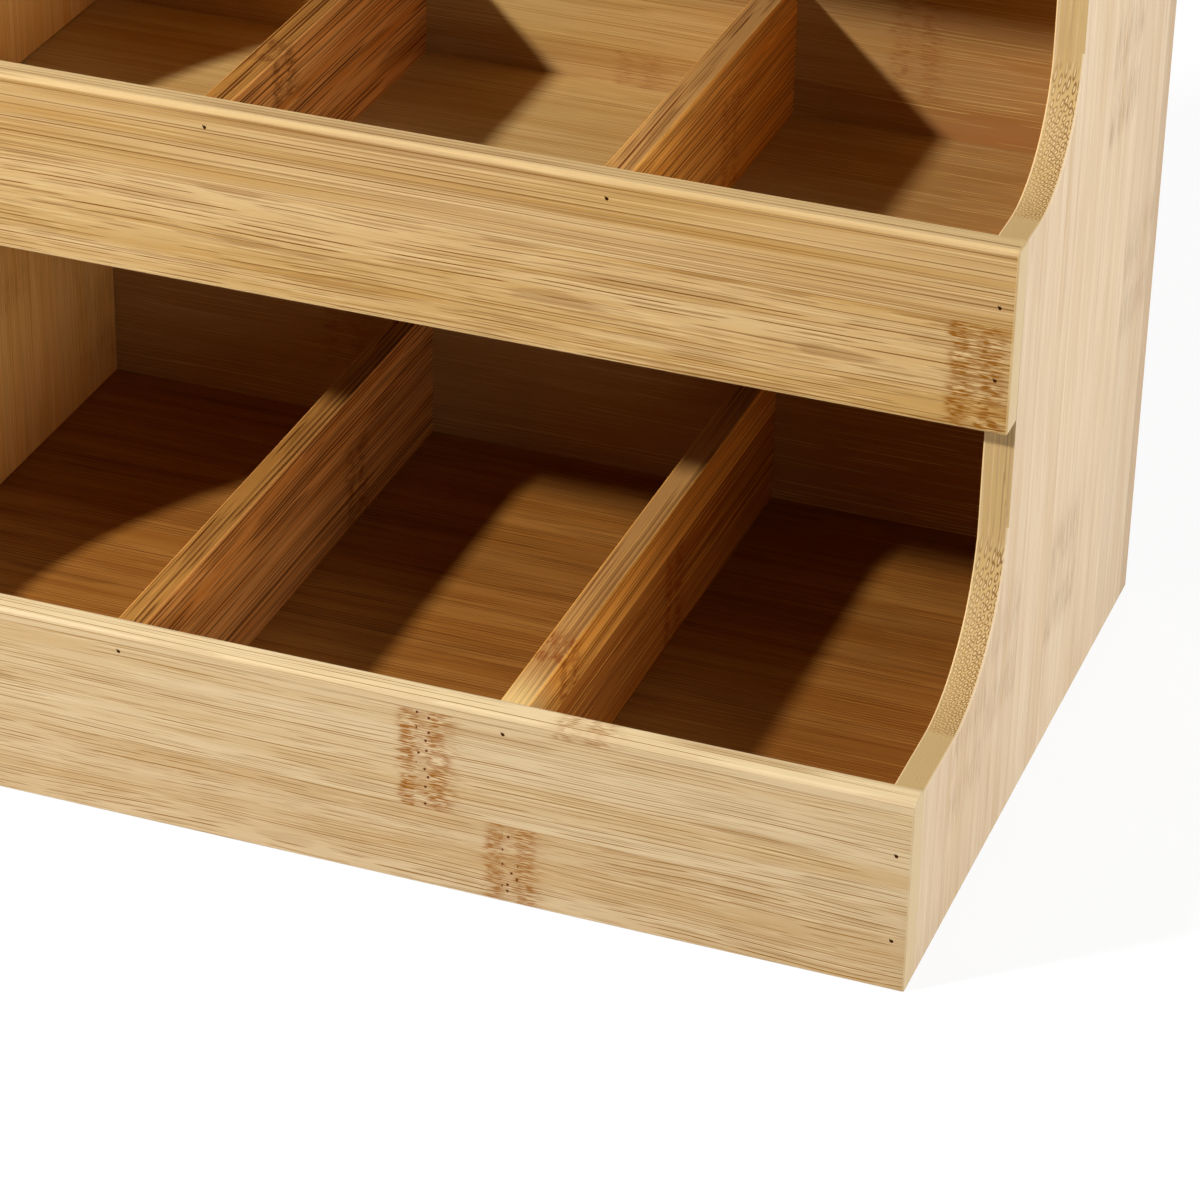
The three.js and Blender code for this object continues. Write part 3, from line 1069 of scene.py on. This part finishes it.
def make_camera():
    data = bpy.data.cameras.new("camera")
    data.sensor_width = SENSOR_WIDTH
    data.lens = CAMERA_LENS
    camera = bpy.data.objects.new("camera", data)
    level = Matrix.Rotation(math.pi / 2 - CAMERA_TILT, 4, "X")
    turn = Matrix.Rotation(CAMERA_PAN, 4, "Z") @ level @ Matrix.Rotation(CAMERA_ROLL, 4, "Z")
    camera.matrix_world = Matrix.Translation(CAMERA_PLACE) @ turn
    bpy.context.scene.collection.objects.link(camera)
    bpy.context.scene.camera = camera


# Rails: how far above the underside the lowest strip starts, in millimetres, how coarse the lines are, the
# tones, the first random key, and the strips, with knuckles in millimetres from the middle
RAIL_STRIP_START = {"lower": -4.5, "middle": 0.0, "top": -9.0}
RAIL_COARSENESS = {"lower": 1.0, "middle": 1.25, "top": 1.1}
RAIL_TONES = {"lower": LOWER_RAIL_TONES, "middle": UPPER_RAIL_TONES, "top": LOWER_RAIL_TONES}
RAIL_SEED = 1
RAIL_STRIPS = {
    "lower": (
        Strip(0, knuckle=41.5, strength=0.95, run=0.45),
        Strip(1, knuckle=23.8, strength=1.15, run=0.7, brown_and_shade=0.06),
        Strip(2, knuckle=55.4, strength=0.7, run=1.5),
    ),
    "middle": (
        Strip(0, knuckle=114.0, strength=1.3, run=0.6, brown_and_shade=0.06),
        Strip(1, knuckle=-104.0, strength=0.8, run=3.0),
    ),
    "top": (
        Strip(0, knuckle=-62.0, strength=0.9, run=1.5),
        Strip(1, knuckle=31.0, strength=1.0, run=0.8, brown_and_shade=0.06),
    ),
}

# Floors: their tones, how much painted shade browns the right end, and the first random key
FLOOR_TONES = {"lower": LOWER_FLOOR_TONES, "middle": SHELF_TONES, "top": SHELF_TONES}
FLOOR_RIGHT_END_SHADE = {"lower": 0.25, "middle": 0.45, "top": 0.45}
FLOOR_SEED = 11

# Dividers: how far above the underside the lowest strip starts, in millimetres, how coarse the lines are, the
# first random key on each side, the tones, and the strips, with knuckles in millimetres behind the origin
DIVIDER_STRIP_START = {"left": -3.0, "right": -0.4}
DIVIDER_COARSENESS = 2.0
DIVIDER_SEED = {"left": 18, "right": 24}
DIVIDER_TONES = {
    ("lower", "left"): DARK_DIVIDER_TONES,
    ("lower", "right"): PALE_DIVIDER_TONES,
    ("middle", "left"): DARK_DIVIDER_TONES,
    ("middle", "right"): PALE_DIVIDER_TONES,
    ("top", "left"): PALE_DIVIDER_TONES,
    ("top", "right"): DARK_DIVIDER_TONES,
}
DIVIDER_STRIPS = {
    ("lower", "left"): (Strip(0, knuckle=28.0, strength=0.6, run=2.0, brown_and_shade=0.2),),
    ("lower", "right"): (
        Strip(0, knuckle=7.0, strength=0.7, run=2.0, brown_and_shade=0.7),
        # Painted light: the front stretch of this strip paler, where more light reaches the divider's front
        Strip(1, knuckle=-53.5, strength=0.8, run=2.0, brown_and_shade=0.0, lit_front=0.85),
    ),
    ("middle", "left"): (Strip(1, knuckle=-2.0, strength=0.8, run=2.0),),
    ("middle", "right"): (Strip(0, knuckle=30.0, strength=0.5, run=2.0, brown_and_shade=0.3),),
    ("top", "left"): (Strip(0, knuckle=44.0, strength=0.6, run=2.0),),
    ("top", "right"): (Strip(1, knuckle=20.0, strength=0.6, run=2.0),),
}

# Back: how much painted shade browns the right end, the random key, and the strips from the bottom up
BACK_RIGHT_END_SHADE = 0.35
BACK_SEED = 41
BACK_STRIPS = (
    # Painted shade: the lowest strips browner and redder, where the back lies in shade behind the lower tier
    Strip(0, brown_and_shade=0.32),
    Strip(1, knuckle=-58.0, strength=0.4, brown_and_shade=0.32),
    Strip(2, knuckle=87.0, strength=0.3, brown_and_shade=0.45),
    Strip(3, knuckle=-95.0, strength=0.3, brown_and_shade=0.45),
    Strip(4, knuckle=10.0, strength=0.3, brown_and_shade=0.3),
    Strip(5, knuckle=70.0, strength=0.4),
    Strip(7, knuckle=-20.0, strength=0.4),
    Strip(9, knuckle=66.0, strength=0.4),
)

# Sides: the right one's strips run forward from behind its back edge, the left one's backward from its front;
# how long the knuckles are, the random keys, and the strips, with knuckles in millimetres from the bottom
SIDE_STRIP_START = {"left": -79.0 * MM, "right": 97.0 * MM}
SIDE_KNUCKLE_SPREAD = 2.4
SIDE_SEED = {"left": 49, "right": 51}
SIDE_STRIPS = {
    "left": (
        Strip(1, knuckle=36.0, strength=0.4),
        Strip(3, knuckle=118.0, strength=0.35),
        Strip(4, knuckle=61.0, strength=0.4),
        Strip(5, knuckle=170.0, strength=0.4),
        Strip(6, knuckle=27.0, strength=0.35),
    ),
    "right": (
        Strip(0, knuckle=150.0, strength=0.4, brown_and_shade=0.5),
        Strip(1, knuckle=84.2, strength=0.4),
        Strip(2, knuckle=137.5, strength=0.5),
        Strip(3, knuckle=36.7, strength=0.5),
        Strip(5, knuckle=40.8, strength=0.4),
        Strip(6, knuckle=33.3, strength=0.4),
        Strip(7, brown_and_shade=0.3),
    ),
}


def dress_rail(tier, index):
    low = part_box(f"{tier}_rail")[0]
    origin = Vector((0, low.y, low.z + RAIL_STRIP_START[tier] * MM))
    look = Look(RAIL_TONES[tier], RAIL_SEED + index, RAIL_STRIPS[tier], coarse=RAIL_COARSENESS[tier])
    make_rail(tier, bamboo_material(f"{tier}_rail_bamboo", ACROSS_CASE, origin, look))


def dress_bin_floor(tier, index):
    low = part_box(FLOORS[tier])[0]
    origin = Vector((0, low.y, low.z))
    look = Look(FLOOR_TONES[tier], FLOOR_SEED + index, far_end_shade=FLOOR_RIGHT_END_SHADE[tier])
    make_bin_floor(tier, bamboo_material(f"{tier}_floor_bamboo", FLAT_ACROSS_CASE, origin, look))


def dress_divider(tier, index, side):
    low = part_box(f"{tier}_{side}_divider")[0]
    origin = Vector((low.x, 0, low.z + DIVIDER_STRIP_START[side] * MM))
    look = Look(
        DIVIDER_TONES[tier, side], DIVIDER_SEED[side] + index, DIVIDER_STRIPS[tier, side],
        coarse=DIVIDER_COARSENESS,
    )
    make_divider(tier, side, bamboo_material(f"{tier}_{side}_divider_bamboo", FRONT_TO_BACK, origin, look))


def dress_back():
    low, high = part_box("back_panel")
    origin = Vector((0, high.y, low.z))
    look = Look(BACK_TONES, BACK_SEED, BACK_STRIPS, BACK_RIGHT_END_SHADE, reverse_tones=BACK_OUTER_TONES)
    make_back(bamboo_material("back_bamboo", ACROSS_CASE, origin, look))


def dress_side(side):
    inner = side_faces(side)[0]
    origin = Vector((inner, SIDE_STRIP_START[side], 0))
    look = Look(
        SIDE_OUTER_SHEEN_TONES, SIDE_SEED[side], SIDE_STRIPS[side],
        spread=SIDE_KNUCKLE_SPREAD, reverse_tones=SIDE_INNER_SHADE_TONES,
    )
    make_side(side, bamboo_material(f"{side}_side_bamboo", UPRIGHT[side], origin, look))


def dress_pins():
    pin_steel = pin_material()
    for name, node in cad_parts.items():
        if "_pin_" in name:
            node.data.materials.clear()
            node.data.materials.append(pin_steel)


for index, tier in enumerate(TIERS):
    dress_rail(tier, index)
    dress_bin_floor(tier, index)
    for side in SIDES:
        dress_divider(tier, index, side)
dress_back()
for side in SIDES:
    dress_side(side)
dress_pins()

make_studio_floor()
make_world()
make_lamp("key_lamp", KEY_PLACE, KEY_SIZE, KEY_POWER, "DISK")
for name, (place, size, power) in PANELS.items():
    make_lamp(name, place, size, power, "SQUARE")
make_camera()
bpy.context.scene.view_settings.view_transform = "Standard"
